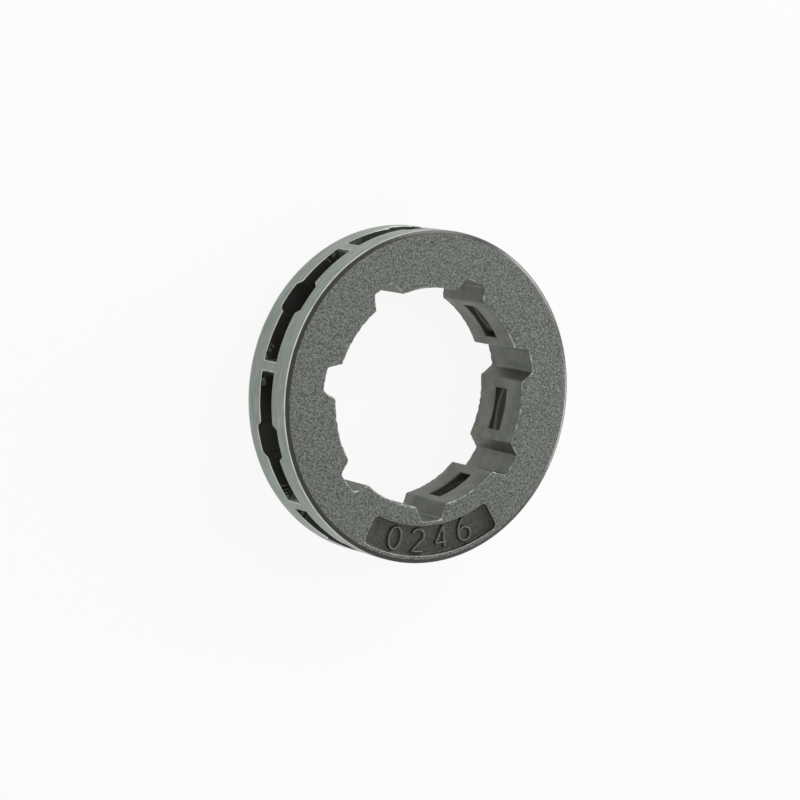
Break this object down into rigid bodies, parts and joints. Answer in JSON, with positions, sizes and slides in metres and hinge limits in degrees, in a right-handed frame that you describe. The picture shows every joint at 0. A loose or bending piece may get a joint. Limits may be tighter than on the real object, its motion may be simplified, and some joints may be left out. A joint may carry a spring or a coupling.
{
  "type": "chainsaw rim sprocket",
  "caption": "Cast steel rim sprocket: a flat ring with a splined bore, slotted drive-link pockets round its ground rim, a window through each bore land and a sunk marking panel on one face.",
  "frame": {"origin": "on the bore axis, at the unmarked face that the ring lies on", "axes": "+Z along the bore axis, towards the marked face; -Y towards the middle of the marking panel"},
  "size_m": [0.034, 0.034, 0.0077],
  "materials": {
    "cast_steel": "fine-grained as-cast steel, with a ground satin rim"
  },
  "bodies": {
    "root": {"rim_sprocket": "cast_steel"}
  },
  "joints": []
}
